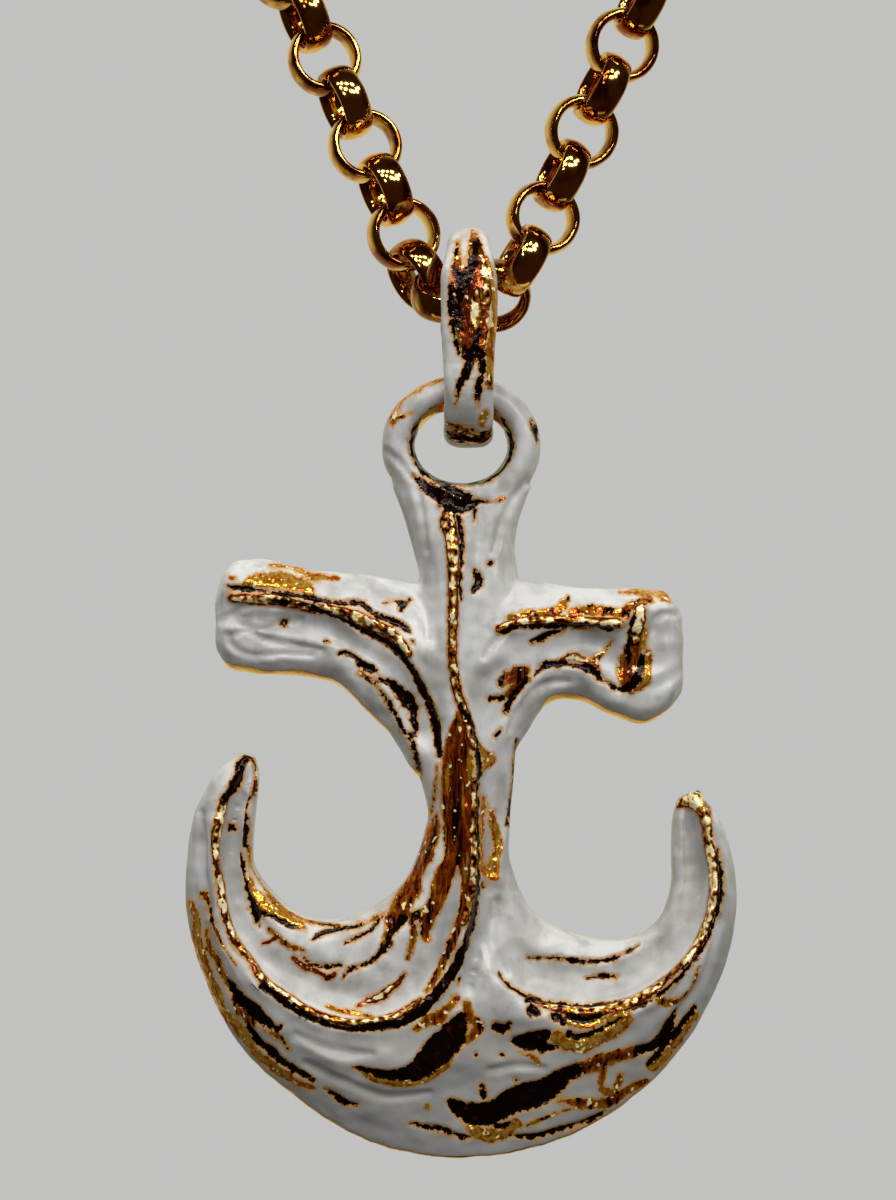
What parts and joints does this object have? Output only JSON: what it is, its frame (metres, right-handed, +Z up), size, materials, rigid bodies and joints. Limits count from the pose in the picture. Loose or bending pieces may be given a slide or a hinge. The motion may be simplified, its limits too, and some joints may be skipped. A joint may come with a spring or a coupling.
{
  "type": "anchor pendant necklace",
  "caption": "Chunky anchor pendant in white enamel rubbed through to gold, hung by a long oval bail on a round-link belcher chain.",
  "frame": {"origin": "the nape, where the middle of the clasp lies against the back of the neck", "axes": "+X to the wearer's left, -Y out of the front of the pendant, +Z up"},
  "size_m": [0.1524, 0.1314, 0.2447],
  "materials": {
    "enamel": "glossy white enamel, rubbed through to polished gold along ridges and in patches",
    "gold": "bright polished gold plate"
  },
  "bodies": {
    "chain": {"chain_left": "gold", "chain_right": "gold", "clasp": "gold"},
    "bail": {"bail": "enamel"},
    "anchor": {"anchor": "enamel"}
  },
  "joints": [
    {"name": "bail_swing", "type": "hinge", "parent": "chain", "child": "bail", "pos_m": [-0.00015, -0.121, -0.16435], "axis": [1, 0, 0], "range_deg": [-40, 40]},
    {"name": "anchor_sway", "type": "hinge", "parent": "bail", "child": "anchor", "pos_m": [-0.00015, -0.121, -0.17805], "axis": [0, 1, 0], "range_deg": [-25, 25]}
  ]
}
